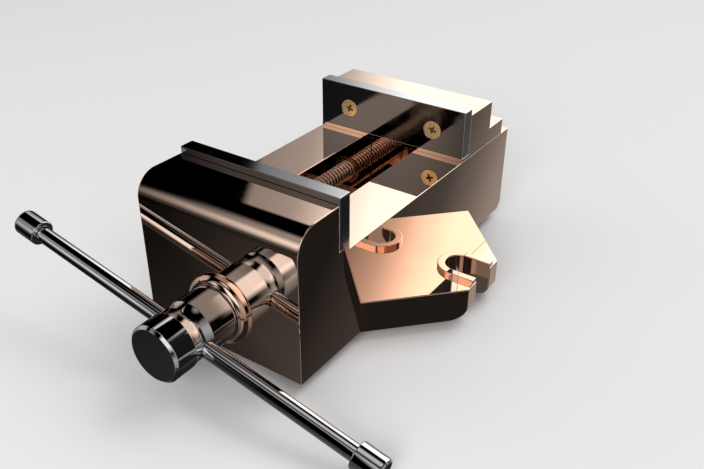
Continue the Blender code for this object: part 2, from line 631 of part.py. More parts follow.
# ---------------------------------------------------------------- assembly
def group_under(name, location, members, parent=None):
    """Hang the members, and the cutters they use, from an empty on their joint's axis."""
    holder = bpy.data.objects.new(name, None)
    bpy.context.scene.collection.objects.link(holder)
    holder.matrix_world = Matrix.Translation(location)
    back = Matrix.Translation(-Vector(location))
    for member in members:
        tools = [modifier.object for modifier in member.modifiers if modifier.type == "BOOLEAN"]
        for thing in [member] + tools:
            thing.parent = holder
            thing.matrix_parent_inverse = back
    if parent is not None:
        holder.parent = parent
        holder.matrix_parent_inverse = parent.matrix_world.inverted()
    return holder


def pieces(*prefixes):
    return [thing for thing in bpy.data.objects
            if thing.type == "MESH" and not thing.hide_render and thing.name.startswith(prefixes)]


def main():
    clear_scene()
    materials = make_materials()
    make_base(materials)
    make_jaw_plate("front_jaw_plate", FRONT_PLATE_FACE, FRONT_JAW_BACK, SCREW_INTO_FRONT, materials)
    make_bushes(materials)
    make_sliding_jaw(materials)
    make_jaw_plate("rear_jaw_plate", REAR_PLATE_FACE, BLOCK_FRONT, ALONG_SCREW, materials)
    make_lead_nut(materials)
    make_keeper(materials)
    make_spindle_head(materials)
    make_lead_screw(materials)
    make_spindle_fittings(materials)
    make_tommy_bar(materials)
    group_under("sliding_jaw_guide", (0, REAR_PLATE_FACE, WAY_TOP),
                pieces("sliding_jaw", "rear_", "lead_nut", "nut_screw", "keeper_"))
    spindle = group_under("spindle_axis", (0, FRONT_Y, SCREW_Z),
                          pieces("spindle_head", "lead_screw", "head_pin", "thrust_washer",
                                 "retaining_collar", "collar_grub"))
    bpy.context.view_layer.update()
    group_under("tommy_bar_axis", (0, BAR_Y, SCREW_Z), pieces("handle_"), spindle)


main()
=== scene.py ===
"""Looks of the bench vise: fine meshes, procedural metals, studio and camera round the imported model.

Every length is in metres, in the model's own frame: +X right, +Y along the screw to the rear, +Z up.
"""

import json
import math
from functools import reduce

import bmesh
import bpy
from mathutils import Matrix, Vector


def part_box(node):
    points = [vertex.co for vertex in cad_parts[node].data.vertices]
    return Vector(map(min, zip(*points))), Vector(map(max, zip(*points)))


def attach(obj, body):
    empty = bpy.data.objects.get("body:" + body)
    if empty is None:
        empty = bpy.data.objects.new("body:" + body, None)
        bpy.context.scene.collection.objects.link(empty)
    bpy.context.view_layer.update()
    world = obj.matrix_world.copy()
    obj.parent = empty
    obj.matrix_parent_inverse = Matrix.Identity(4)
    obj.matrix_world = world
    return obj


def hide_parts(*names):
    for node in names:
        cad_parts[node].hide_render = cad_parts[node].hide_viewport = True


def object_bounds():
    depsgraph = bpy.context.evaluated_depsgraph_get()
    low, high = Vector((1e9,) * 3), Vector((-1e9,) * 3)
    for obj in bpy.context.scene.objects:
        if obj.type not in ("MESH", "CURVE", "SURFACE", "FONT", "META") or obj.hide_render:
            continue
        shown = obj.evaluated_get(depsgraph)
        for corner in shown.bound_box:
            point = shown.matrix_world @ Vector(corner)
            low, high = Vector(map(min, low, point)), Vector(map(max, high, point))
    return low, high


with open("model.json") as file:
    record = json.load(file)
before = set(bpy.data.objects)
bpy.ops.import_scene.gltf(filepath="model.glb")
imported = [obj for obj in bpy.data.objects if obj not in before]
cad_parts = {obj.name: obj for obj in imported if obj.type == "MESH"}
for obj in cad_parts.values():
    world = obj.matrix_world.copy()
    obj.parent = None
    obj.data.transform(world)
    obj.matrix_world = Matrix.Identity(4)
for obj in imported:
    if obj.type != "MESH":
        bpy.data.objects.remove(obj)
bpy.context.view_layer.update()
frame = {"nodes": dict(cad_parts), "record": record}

MM = 0.001
MICRON = 1e-6
GAP = 0.3 * MM                      # clearance between pieces that touch
PAST = 1 * MM                       # how far a cutter goes past a face, or a joined shape into one

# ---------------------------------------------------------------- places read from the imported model
base_lo, base_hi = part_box("base_casting")
plate_lo, plate_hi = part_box("front_jaw_plate")
rear_plate_lo, rear_plate_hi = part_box("rear_jaw_plate")
jaw_lo, jaw_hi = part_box("sliding_jaw")
head_lo, head_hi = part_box("spindle_head")
bush_lo, bush_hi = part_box("spindle_bush")
screw_lo, screw_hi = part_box("lead_screw")
collar_lo, collar_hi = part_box("retaining_collar")
washer_lo, washer_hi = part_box("thrust_washer")
tail_lo, tail_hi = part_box("tail_bush")
KEEPER_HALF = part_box("keeper_plate")[1].x

HALF = plate_hi.x                   # half the jaws' width
JAW_TOP = base_hi.z
FRONT_Y = base_lo.y
REAR_Y = base_hi.y
LUG_REACH = base_hi.x
FRONT_JAW_BACK = plate_lo.y - GAP
FRONT_PLATE_FACE = plate_hi.y
REAR_PLATE_FACE = rear_plate_lo.y
BLOCK_FRONT = rear_plate_hi.y + GAP
SHOE_BACK = jaw_hi.y
PLATE_BOTTOM = plate_lo.z
LEDGE = PLATE_BOTTOM - GAP          # both castings carry their plate on a ledge
TONGUE_BOTTOM = jaw_lo.z
SCREW_Z = (bush_lo.z + bush_hi.z) / 2
HEAD_FRONT = head_lo.y
HEAD_BACK = head_hi.y
FLANGE_RADIUS = bush_hi.x
HEAD_RADIUS = head_hi.x

# ---------------------------------------------------------------- sizes the boxes do not give
# castings
WAY_TOP = 57 * MM
FRONT_JAW_ROUND = 13 * MM
REAR_CHAMFER = 4 * MM
CHANNEL_HALF = 18.4 * MM
CAVITY_HALF = 25.5 * MM
CAVITY_TOP = 13 * MM
FLOOR_TOP = 4 * MM
REAR_WALL = 8 * MM
COLLAR_POCKET_TOP = 45 * MM
WINDOW_LEAD = 4 * MM                # the window in the floor starts this far before the tongue
WINDOW_SHORT = 3 * MM               # and ends this far short of the rear wall
LUG_ROOT_HALF = 60 * MM
LUG_END_HALF = 17.4 * MM
LUG_OVERLAP = 5 * MM                # how far a lug is sunk into the base
LUG_THICKNESS = 19 * MM
LUG_UNDER_ROUND = 7 * MM
SLOT_RADIUS = 8 * MM
SLOT_CENTRE_X = 75.5 * MM
BOSS_RADIUS = 12.3 * MM
BOSS_TOP = 21.5 * MM
BOSS_INSET = 0.5 * MM               # between a boss's open end and the lug's
BLOCK_DEPTH = 26.5 * MM
SHOE_TOP = 67 * MM
SHOE_LIFT = 0.05 * MM               # between the shoe and the ways
TONGUE_FRONT = BLOCK_FRONT + 0.5 * MM
TONGUE_BACK = TONGUE_FRONT + 30 * MM
NUT_RADIUS = 9 * MM
CASTING_EDGE = 0.5 * MM             # rounding of the castings' corners

# jaw plates and their screws
PLATE_EDGE = 0.45 * MM
PLATE_CLOSING = 0.25 * MM           # a plate reaches this far into the gaps behind and below it
PLATE_SCREW_X = 29.3 * MM
PLATE_SCREW_Z = 72.5 * MM
PLATE_HEAD_RADIUS = 5.4 * MM
PLATE_SHANK_RADIUS = 3 * MM
PLATE_HEAD_DEPTH = 3.2 * MM
PLATE_HEAD_RIM = 0.4 * MM
PLATE_HEAD_INSET = 0.1 * MM         # a head lies this far below its plate's face
PLATE_HEAD_PLAY = 0.04 * MM
PLATE_HEAD_ROUND = 0.25 * MM
PLATE_SCREW_LENGTH = 17.5 * MM
PLATE_SCREW_EDGE = 0.12 * MM
CROSS_ARM = 3.1 * MM
CROSS_WING = 0.75 * MM
CROSS_DEPTH = 2.1 * MM
CROSS_TAPER = (0.55, 0.75)          # share of its length and width that an arm keeps at its floor
CROSS_TURN = math.radians(20)

# spindle
PITCH = 3 * MM
CREST_RADIUS = 6 * MM
ROOT_RADIUS = 4.6 * MM
JOURNAL_RADIUS = 8 * MM
JOURNAL_BORE = JOURNAL_RADIUS + GAP
JOURNAL_CHAMFER = 1 * MM
JOURNAL_PAST = 2 * MM               # how far the journal goes past the collar's gap
TAIL_RADIUS = 5 * MM
TAIL_CHAMFER = 0.6 * MM
TAIL_LEAD = 3 * MM                  # the tail starts this far before the rear wall
BUSH_RADIUS = 12 * MM
FLANGE_ROUND = 3.3 * MM
FLANGE_STAND = 0.03 * MM            # between the flange and the front jaw
SPIGOT_RADIUS = 7 * MM
SPIGOT_CHAMFER = 0.4 * MM
SPIGOT_HOLE = 13.8 * MM
HEAD_CHAMFER = 1.4 * MM
HEAD_EDGE = 0.25 * MM
WAIST_CENTRE = 26.4 * MM            # in front of the base casting
WAIST_HALF = 6 * MM
WAIST_DEPTH = 0.7 * MM

# tommy bar
BAR_Y = FRONT_Y - 24.6 * MM
BAR_RADIUS = 4.25 * MM
BAR_TILT = math.radians(12.2)       # right end down
BAR_SHOULDER = 100.6 * MM
BAR_SPIGOT_RADIUS = 3.2 * MM
BAR_SPIGOT_LENGTH = 8 * MM
CAP_RADIUS = 6.75 * MM
CAP_LENGTH = 14.5 * MM

FINE = 96                           # facets round a turned piece
AXIS = Vector((0, 0, SCREW_Z))
TO_FRONT = Matrix.Rotation(math.radians(90), 4, "X")       # local +Z to world -Y
TO_REAR = Matrix.Rotation(math.radians(-90), 4, "X")       # local +Z to world +Y
ON_SCREW = Matrix.Translation(AXIS) @ TO_REAR              # local +Z along the lead screw's axis
BAR_FRAME = (Matrix.Translation((0, BAR_Y, SCREW_Z))
             @ Matrix.Rotation(math.radians(90) + BAR_TILT, 4, "Y"))

BODY_OF = {node: body for body, nodes in frame["record"]["behaviour"]["bodies"].items()
           for node in nodes}


# ---------------------------------------------------------------- node helpers
def link_or_set(tree, socket, value):
    if isinstance(value, bpy.types.NodeSocket):
        tree.links.new(value, socket)
    else:
        socket.default_value = value


def maths(tree, operation, *values):
    node = tree.nodes.new("ShaderNodeMath")
    node.operation = operation
    for socket, value in zip(node.inputs, values):
        link_or_set(tree, socket, value)
    return node.outputs[0]


def vector_maths(tree, operation, *values):
    node = tree.nodes.new("ShaderNodeVectorMath")
    node.operation = operation
    for socket, value in zip(node.inputs, values):
        link_or_set(tree, socket, value)
    return node


def coordinates(tree, kind):
    return tree.nodes.new("ShaderNodeTexCoord").outputs[kind]


def components(tree, vector):
    node = tree.nodes.new("ShaderNodeSeparateXYZ")
    tree.links.new(vector, node.inputs[0])
    return node.outputs


def ramp(tree, value, stops, low=-1.0, high=1.0):
    """Levels at the stops (place, level), straight lines between them, for a value from low to high."""
    scaled = maths(tree, "DIVIDE", maths(tree, "SUBTRACT", value, low), high - low)
    node = tree.nodes.new("ShaderNodeValToRGB")
    tree.links.new(scaled, node.inputs[0])
    points = node.color_ramp.elements
    while len(points) < len(stops):
        points.new(0.5)             # anywhere: the loop below moves it
    most = max(level for place, level in stops)
    for point, (place, level) in zip(points, stops):
        point.position = (place - low) / (high - low)
        point.color = (level / most, level / most, level / most, 1.0)
    return maths(tree, "MULTIPLY", node.outputs[0], most)


def noise_value(tree, place, scale, detail, stretch=(1, 1, 1)):
    mapping = tree.nodes.new("ShaderNodeMapping")
    mapping.inputs["Scale"].default_value = stretch
    tree.links.new(place, mapping.inputs["Vector"])
    node = tree.nodes.new("ShaderNodeTexNoise")
    node.inputs["Scale"].default_value = scale
    node.inputs["Detail"].default_value = detail
    tree.links.new(mapping.outputs[0], node.inputs["Vector"])
    return node.outputs["Fac"]


# ---------------------------------------------------------------- metals
CLOUD_LOW, CLOUD_HIGH = 0.35, 0.65  # noise levels between which one value turns into the other
CLOUD_PART, LINE_PART = 0.6, 0.4    # what clouds and lines count for in the roughness
EVEN = (1, 1, 1)                    # a fine grain, without a direction
ALONG_X = (0.03, 1, 1)              # lines drawn out along X
ALONG_Y = (1, 0.05, 1)              # lines drawn out along Y


def metal(name, colour, shade, rough, line_stretch, line_scale, relief, cloud_scale=35.0, metallic=1.0):
    """A metal: colour drifts to shade in clouds, roughness runs from rough[0] to rough[1] with them
    and with fine lines, and the lines stand relief high."""
    material = bpy.data.materials.new(name)
    material.use_nodes = True
    tree = material.node_tree
    shader = tree.nodes["Principled BSDF"]
    shader.inputs["Metallic"].default_value = metallic
    place = coordinates(tree, "Object")
    clouds = noise_value(tree, place, cloud_scale, detail=5.0)
    lines = noise_value(tree, place, line_scale, detail=3.0, stretch=line_stretch)
    mix = tree.nodes.new("ShaderNodeMix")
    mix.data_type = "RGBA"
    mix.inputs["A"].default_value = (*colour, 1.0)
    mix.inputs["B"].default_value = (*shade, 1.0)
    drift = ramp(tree, clouds, [(CLOUD_LOW, 0.0), (CLOUD_HIGH, 1.0)], low=0.0)
    tree.links.new(drift, mix.inputs["Factor"])
    tree.links.new(mix.outputs["Result"], shader.inputs["Base Color"])
    blend = maths(tree, "ADD", maths(tree, "MULTIPLY", clouds, CLOUD_PART),
                  maths(tree, "MULTIPLY", lines, LINE_PART))
    level = ramp(tree, blend, [(CLOUD_LOW, rough[0]), (CLOUD_HIGH, rough[1])], low=0.0)
    tree.links.new(level, shader.inputs["Roughness"])
    bump = tree.nodes.new("ShaderNodeBump")
    bump.inputs["Strength"].default_value = 1.0
    bump.inputs["Distance"].default_value = relief
    tree.links.new(lines, bump.inputs["Height"])
    tree.links.new(bump.outputs["Normal"], shader.inputs["Normal"])
    return material


def scale_colour(material, level):
    """Multiply a metal's colour by the level that its own nodes work out."""
    tree = material.node_tree
    shader = tree.nodes["Principled BSDF"]
    bright = shader.inputs["Base Color"].links[0].from_socket
    scaled = vector_maths(tree, "SCALE", bright)
    tree.links.new(level, scaled.inputs["Scale"])
    tree.links.new(scaled.outputs[0], shader.inputs["Base Color"])


def paint_recess_shade(material, share, faces_y):
    """Painted shade in the recesses: down away from the screws' faces across Y, only share of the colour
    is kept.
    """
    tree = material.node_tree
    y = components(tree, coordinates(tree, "Object"))["Y"]
    depths = [maths(tree, "ABSOLUTE", maths(tree, "SUBTRACT", y, face)) for face in faces_y]
    depth = maths(tree, "MINIMUM", *depths)
    stops = [(0.4 * MM, 1.0), (1.0 * MM, share)]
    scale_colour(material, ramp(tree, depth, stops, low=0.0, high=5 * MM))


def paint_valley_shade(material, share):
    """Painted shade between the thread's crests: by their distance from the lead screw's axis, only share
    is kept.
    """
    tree = material.node_tree
    away = vector_maths(tree, "SUBTRACT", coordinates(tree, "Object"), (0, 0, SCREW_Z))
    level_off = vector_maths(tree, "MULTIPLY", away.outputs[0], (1, 0, 1))
    radius = vector_maths(tree, "LENGTH", level_off.outputs[0]).outputs["Value"]
    stops = [(4.3 * MM, 1.0), (4.5 * MM, share), (5.3 * MM, share), (5.8 * MM, 1.0)]
    scale_colour(material, ramp(tree, radius, stops, low=0.0, high=8 * MM))


def paint_face_shade(material, share):
    """Painted shade on the two faces across Y: they keep only share of the colour and look darker than
    the edges.
    """
    tree = material.node_tree
    across_y = maths(tree, "ABSOLUTE", components(tree, coordinates(tree, "Normal"))["Y"])
    scale_colour(material, ramp(tree, across_y, [(0.75, 1.0), (0.95, share)], low=0.0))


METALS = {
    "casting": metal("polished_casting", colour=(0.95, 0.69, 0.55), shade=(0.92, 0.66, 0.52),
                     rough=(0.01, 0.035), line_stretch=EVEN, line_scale=260.0, relief=0.5 * MICRON),
    "jaw_plate": metal("ground_steel", colour=(0.62, 0.62, 0.63), shade=(0.57, 0.57, 0.58),
                       rough=(0.04, 0.11), line_stretch=ALONG_X, line_scale=2400.0,
                       relief=0.8 * MICRON),
    "bright_chrome": metal("chromed_steel", colour=(0.66, 0.66, 0.67), shade=(0.62, 0.62, 0.63),
                           rough=(0.02, 0.06), line_stretch=EVEN, line_scale=400.0,
                           relief=0.6 * MICRON),
    "screw_brass": metal("brass", colour=(0.95, 0.68, 0.32), shade=(0.90, 0.61, 0.26),
                         rough=(0.22, 0.34), line_stretch=EVEN, line_scale=1500.0,
                         relief=1.5 * MICRON, cloud_scale=300.0, metallic=0.75),
    "bearing_bronze": metal("bearing_bronze", colour=(0.72, 0.46, 0.27), shade=(0.62, 0.38, 0.22),
                            rough=(0.22, 0.40), line_stretch=ALONG_Y, line_scale=2200.0,
                            relief=3.0 * MICRON, cloud_scale=150.0),
    "machined_steel": metal("turned_steel", colour=(0.90, 0.82, 0.77), shade=(0.84, 0.76, 0.71),
                            rough=(0.18, 0.28), line_stretch=ALONG_Y, line_scale=2600.0,
                            relief=1.0 * MICRON, cloud_scale=120.0, metallic=0.5),
    "dark_steel": metal("blackened_steel", colour=(0.06, 0.06, 0.065), shade=(0.10, 0.095, 0.09),
                        rough=(0.32, 0.5), line_stretch=EVEN, line_scale=1500.0,
                        relief=4.0 * MICRON, cloud_scale=250.0),
}
# painted shade on the jaw plates' faces across Y
paint_face_shade(METALS["jaw_plate"], share=0.36)
# painted shade in the brass screws' cross recesses
paint_recess_shade(METALS["screw_brass"], share=0.25, faces_y=(FRONT_PLATE_FACE, REAR_PLATE_FACE))
# painted shade in the thread's valleys
paint_valley_shade(METALS["machined_steel"], share=0.15)


# ---------------------------------------------------------------- shapes
def raw_object(name, bm, placed=None):
    bmesh.ops.recalc_face_normals(bm, faces=bm.faces)
    mesh = bpy.data.meshes.new(name)
    bm.to_mesh(mesh)
    bm.free()
    if placed is not None:
        mesh.transform(placed)
    thing = bpy.data.objects.new(name, mesh)
    bpy.context.scene.collection.objects.link(thing)
    return thing


def block(lo, hi):
    bm = bmesh.new()
    bmesh.ops.create_cube(bm, size=1.0)
    lo, hi = Vector(lo), Vector(hi)
    bmesh.ops.scale(bm, vec=hi - lo, verts=bm.verts)
    bmesh.ops.translate(bm, vec=(lo + hi) / 2, verts=bm.verts)
    return bm


def extruded(outline, shift):
    """A prism: the outline's points, and the same points moved by shift."""
    bm = bmesh.new()
    face = bm.faces.new([bm.verts.new(point) for point in outline])
    grown = bmesh.ops.extrude_face_region(bm, geom=[face])["geom"]
    corners = [item for item in grown if isinstance(item, bmesh.types.BMVert)]
    bmesh.ops.translate(bm, vec=shift, verts=corners)
    return bm


def upright(outline, bottom, top):
    return extruded([(x, y, bottom) for x, y in outline], (0, 0, top - bottom))


def across(outline, half_width):
    return extruded([(-half_width, y, z) for y, z in outline], (2 * half_width, 0, 0))


def tapered_arm(half_length, half_width, top, floor, taper):
    """A four-sided plug from top to floor, where it keeps the shares of its size that taper gives."""
    bm = bmesh.new()
    corners = [(-half_length, -half_width), (half_length, -half_width),
               (half_length, half_width), (-half_length, half_width)]
    upper = [bm.verts.new((x, y, top)) for x, y in corners]
    lower = [bm.verts.new((taper[0] * x, taper[1] * y, floor)) for x, y in corners]
    bm.faces.new(upper)
    bm.faces.new(lower)
    for step in range(4):
        after = (step + 1) % 4
        bm.faces.new((upper[step], upper[after], lower[after], lower[step]))
    return bm


def lathe(profile, segments=FINE, hollow=False):
    """Turn (height, radius) points about +Z: hollow joins the last point to the first."""
    bm = bmesh.new()
    rings = []
    for height, radius in profile:
        if radius == 0:
            rings.append([bm.verts.new((0, 0, height))])
            continue
        angles = [2 * math.pi * step / segments for step in range(segments)]
        rings.append([bm.verts.new((radius * math.cos(a), radius * math.sin(a), height))
                      for a in angles])
    pairs = list(zip(rings, rings[1:]))
    if hollow:
        pairs.append((rings[-1], rings[0]))
    for low, high in pairs:
        for step in range(segments):
            after = (step + 1) % segments
            corners = []
            for corner in (low[step % len(low)], low[after % len(low)],
                           high[after % len(high)], high[step % len(high)]):
                if corner not in corners:
                    corners.append(corner)
            bm.faces.new(corners)
    return bm


def cylinder(radius, bottom, top, segments=FINE):
    return lathe([(bottom, 0), (bottom, radius), (top, radius), (top, 0)], segments)


def rounded(points, radii, steps=6):
    """The (height, radius) profile with its corners rounded: radii has a radius for each point."""
    out = []
    for number, (point, radius) in enumerate(zip(points, radii)):
        here = Vector(point)
        if not radius:
            out.append(point)
            continue
        before = (Vector(points[number - 1]) - here).normalized()
        after = (Vector(points[(number + 1) % len(points)]) - here).normalized()
        half = before.angle(after) / 2
        reach = radius / math.tan(half)
        centre = here + (before + after).normalized() * (radius / math.sin(half))
        start = here + before * reach - centre
        turn = start.angle_signed(here + after * reach - centre)
        for step in range(steps + 1):
            angle = -turn * step / steps
            out.append((centre.x + start.x * math.cos(angle) - start.y * math.sin(angle),
                        centre.y + start.x * math.sin(angle) + start.y * math.cos(angle)))
    return out


def settle(thing):
    """Work the modifiers out and keep the mesh that they give."""
    solved = thing.evaluated_get(bpy.context.evaluated_depsgraph_get())
    mesh = bpy.data.meshes.new_from_object(solved)
    thing.modifiers.clear()
    old = thing.data
    thing.data = mesh
    bpy.data.meshes.remove(old)


def combine(target, operation, bm, placed=None):
    """Join or cut, worked out at once so that no cutter stays in the scene."""
    tool = raw_object("tool", bm, placed)
    modifier = target.modifiers.new("shape", "BOOLEAN")
    modifier.operation = operation
    modifier.object = tool
    modifier.solver = "EXACT"
    settle(target)
    bpy.data.objects.remove(tool, do_unlink=True)


def cut(target, bm, placed=None):
    combine(target, "DIFFERENCE", bm, placed)


def join(target, bm, placed=None):
    combine(target, "UNION", bm, placed)


def mark_corners(bm, fine_below):
    """Outward corners get a weight to be rounded by, a quarter as much below fine_below."""
    least_corner = math.radians(30)
    fine_weight = 0.25
    weights = bm.edges.layers.float.new("bevel_weight_edge")
    for edge in bm.edges:
        if len(edge.link_faces) == 2 and edge.is_convex and edge.calc_face_angle() > least_corner:
            low = all(vertex.co.z < fine_below for vertex in edge.verts)
            edge[weights] = fine_weight if low else 1.0


def dress(thing, node, slot, edge=0.0, edge_steps=4, fine_below=-1.0):
    """Give a piece its metal and its CAD node's body, smooth its curves and round its edges."""
    mesh = thing.data
    bm = bmesh.new()
    bm.from_mesh(mesh)
    bmesh.ops.remove_doubles(bm, verts=bm.verts, dist=MICRON)
    bmesh.ops.dissolve_limit(bm, angle_limit=math.radians(0.3), verts=bm.verts, edges=bm.edges)
    if edge:
        mark_corners(bm, fine_below)
    bm.to_mesh(mesh)
    bm.free()
    mesh.shade_smooth()
    if edge:
        bevel = thing.modifiers.new("edges", "BEVEL")
        bevel.width = edge
        bevel.segments = edge_steps
        bevel.limit_method = "WEIGHT"
        bevel.use_clamp_overlap = False
        bevel.miter_outer = "MITER_ARC"
        bevel.face_strength_mode = "FSTR_AFFECTED"
        settle(thing)
    thing.data.set_sharp_from_angle(angle=math.radians(35 if edge else 30))
    even = thing.modifiers.new("flats", "WEIGHTED_NORMAL")
    even.keep_sharp = True
    even.use_face_influence = bool(edge)
    thing.data.materials.clear()
    thing.data.materials.append(METALS[slot])
    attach(thing, BODY_OF[node])
    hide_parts(node)


# ---------------------------------------------------------------- base casting
def slot_outline(side, radius, far, steps=48):
    """A U shape that reaches outwards to far, its round end towards the base."""
    arc = [math.pi / 2 + math.pi * step / steps for step in range(steps + 1)]
    points = [(SLOT_CENTRE_X + radius * math.cos(a), radius * math.sin(a)) for a in arc]
    points += [(far, -radius), (far, radius)]
    return [(side * x, y) for x, y in points]


def add_lug(base, side):
    """A tapering lug with its end rounded underneath, a raised boss and an open slot."""
    root = HALF - LUG_OVERLAP
    root_half = LUG_ROOT_HALF + LUG_OVERLAP
    outline = [(side * root, -root_half), (side * LUG_REACH, -LUG_END_HALF),
               (side * LUG_REACH, LUG_END_HALF), (side * root, root_half)]
    lug = upright(outline, 0, LUG_THICKNESS)
    near = 0.1 * MM
    under_edges = [edge for edge in lug.edges
                   if all(abs(v.co.z) < near and abs(abs(v.co.x) - LUG_REACH) < near
                          for v in edge.verts)]
    bmesh.ops.bevel(lug, geom=under_edges, offset=LUG_UNDER_ROUND, segments=16, profile=0.5,
                    affect="EDGES")
    join(base, lug)
    boss = slot_outline(side, BOSS_RADIUS, LUG_REACH - BOSS_INSET)
    join(base, upright(boss, LUG_THICKNESS - PAST, BOSS_TOP))
    slot = slot_outline(side, SLOT_RADIUS, LUG_REACH + PAST)
    cut(base, upright(slot, -PAST, BOSS_TOP + PAST))


def front_jaw_profile(steps=32):
    """Side outline of the front jaw and the ways, as (y, z) points."""
    round_y = FRONT_Y + FRONT_JAW_ROUND
    round_z = JAW_TOP - FRONT_JAW_ROUND
    arc = [math.pi - math.pi / 2 * step / steps for step in range(steps + 1)]
    corner = [(round_y + FRONT_JAW_ROUND * math.cos(a), round_z + FRONT_JAW_ROUND * math.sin(a))
              for a in arc]
    return [(FRONT_Y, 0)] + corner + [
        (FRONT_JAW_BACK, JAW_TOP), (FRONT_JAW_BACK, LEDGE), (FRONT_PLATE_FACE, LEDGE),
        (FRONT_PLATE_FACE, WAY_TOP), (REAR_Y, WAY_TOP), (REAR_Y, REAR_CHAMFER),
        (REAR_Y - REAR_CHAMFER, 0)]


def make_base():
    base = raw_object("base", across(front_jaw_profile(), HALF))
    add_lug(base, 1)
    add_lug(base, -1)
    wall_front = REAR_Y - REAR_WALL
    cut(base, block((-CHANNEL_HALF, FRONT_PLATE_FACE, FLOOR_TOP),
                    (CHANNEL_HALF, wall_front, WAY_TOP + PAST)))
    cut(base, block((-CHANNEL_HALF, FRONT_JAW_BACK, FLOOR_TOP),
                    (CHANNEL_HALF, FRONT_PLATE_FACE + PAST, COLLAR_POCKET_TOP)))
    cut(base, block((-CAVITY_HALF, FRONT_PLATE_FACE, FLOOR_TOP),
                    (CAVITY_HALF, wall_front, CAVITY_TOP)))
    window_half = KEEPER_HALF + GAP
    cut(base, block((-window_half, TONGUE_FRONT - WINDOW_LEAD, -PAST),
                    (window_half, wall_front - WINDOW_SHORT, FLOOR_TOP + PAST)))
    cut(base, cylinder(BUSH_RADIUS + GAP, FRONT_Y - PAST, FRONT_JAW_BACK + PAST), ON_SCREW)
    cut(base, cylinder(tail_hi.x + GAP, wall_front - PAST, REAR_Y + PAST), ON_SCREW)
    dress(base, "base_casting", "casting", CASTING_EDGE)


# ---------------------------------------------------------------- jaw plates and their screws
def countersink():
    """Cutter for a countersunk screw's hole, with the plate's face at local Z = 0."""
    rim = PLATE_HEAD_RADIUS + PLATE_HEAD_PLAY
    neck = PLATE_SHANK_RADIUS + GAP
    depth = rear_plate_hi.y - rear_plate_lo.y + 2 * PAST
    return lathe([(-PAST, 0), (-PAST, rim), (PLATE_HEAD_RIM, rim), (PLATE_HEAD_DEPTH, neck),
                  (depth, neck), (depth, 0)])


def make_plate_screw(name, node, placed):
    """A countersunk screw, the plate's face at local Z = 0, with a cross recess that narrows inwards."""
    neck = PLATE_SHANK_RADIUS
    tip = PLATE_SCREW_LENGTH
    tip_chamfer = 1 * MM
    profile = rounded([(PLATE_HEAD_INSET, 0), (PLATE_HEAD_INSET, PLATE_HEAD_RADIUS),
                       (PLATE_HEAD_RIM, PLATE_HEAD_RADIUS), (PLATE_HEAD_DEPTH, neck),
                       (tip - tip_chamfer, neck), (tip, neck - tip_chamfer), (tip, 0)],
                      [0, PLATE_HEAD_ROUND, 0, 0, 0, 0, 0])
    screw = raw_object(name, lathe(profile), placed)
    for quarter_turn in (0, math.radians(90)):
        arm = tapered_arm(CROSS_ARM, CROSS_WING, -PAST, CROSS_DEPTH, CROSS_TAPER)
        cut(screw, arm, placed @ Matrix.Rotation(quarter_turn + CROSS_TURN, 4, "Z"))
    dress(screw, node, "screw_brass", PLATE_SCREW_EDGE, edge_steps=2)


def make_jaw_plate(node, lo, hi, face_y, facing):
    """A plate and its two screws: facing turns a screw's local +Z from the plate's face inwards."""
    back_y = lo.y + hi.y - face_y
    back_y += math.copysign(PLATE_CLOSING, back_y - face_y)
    corners = sorted((back_y, face_y))
    plate = raw_object(node + "_fine", block((lo.x, corners[0], lo.z - PLATE_CLOSING),
                                             (hi.x, corners[1], hi.z)))
    for side, name in ((-1, "left"), (1, "right")):
        placed = Matrix.Translation((side * PLATE_SCREW_X, face_y, PLATE_SCREW_Z)) @ facing
        cut(plate, countersink(), placed)
        screw = node.replace("jaw_plate", "plate_screw_") + name
        make_plate_screw(screw + "_fine", screw, placed)
    dress(plate, node, "jaw_plate", PLATE_EDGE, fine_below=lo.z)


# ---------------------------------------------------------------- sliding jaw
def sliding_jaw_profile():
    """Side outline of the block and the shoe behind it, as (y, z) points."""
    bottom = WAY_TOP + SHOE_LIFT
    block_back = BLOCK_FRONT + BLOCK_DEPTH
    return [(REAR_PLATE_FACE, bottom), (REAR_PLATE_FACE, LEDGE), (BLOCK_FRONT, LEDGE),
            (BLOCK_FRONT, JAW_TOP), (block_back, JAW_TOP), (block_back, SHOE_TOP),
            (SHOE_BACK, SHOE_TOP), (SHOE_BACK, bottom)]


def make_sliding_jaw():
    jaw = raw_object("rear_jaw_casting", across(sliding_jaw_profile(), HALF))
    tongue_half = CHANNEL_HALF - GAP
    join(jaw, block((-tongue_half, TONGUE_FRONT, TONGUE_BOTTOM),
                    (tongue_half, TONGUE_BACK, WAY_TOP + 2 * PAST)))
    cut(jaw, cylinder(NUT_RADIUS + GAP, TONGUE_FRONT - PAST, TONGUE_BACK + PAST), ON_SCREW)
    dress(jaw, "sliding_jaw", "casting", CASTING_EDGE, fine_below=PLATE_BOTTOM)


# ---------------------------------------------------------------- spindle
def make_bush():
    """The flanged bush, its front edge a full rounding that catches the light."""
    front, back = bush_lo.y, FRONT_Y - FLANGE_STAND
    bore_round, end_round = 0.4 * MM, 0.3 * MM
    profile = rounded([(front, JOURNAL_BORE), (front, FLANGE_RADIUS), (back, FLANGE_RADIUS),
                       (back, BUSH_RADIUS), (bush_hi.y, BUSH_RADIUS), (bush_hi.y, JOURNAL_BORE)],
                      [bore_round, FLANGE_ROUND, 0, 0, bore_round, end_round], steps=20)
    bush = raw_object("flanged_bush", lathe(profile, hollow=True), ON_SCREW)
    dress(bush, "spindle_bush", "casting")


def waist_profile(steps=24):
    """The shallow arc round the head, as (y, radius) points."""
    arc_radius = (WAIST_HALF ** 2 + WAIST_DEPTH ** 2) / (2 * WAIST_DEPTH)
    reach = math.asin(WAIST_HALF / arc_radius)
    angles = [reach * (2 * step / steps - 1) for step in range(steps + 1)]
    return [(FRONT_Y - WAIST_CENTRE + arc_radius * math.sin(a),
             HEAD_RADIUS - WAIST_DEPTH + arc_radius * (1 - math.cos(a))) for a in angles]


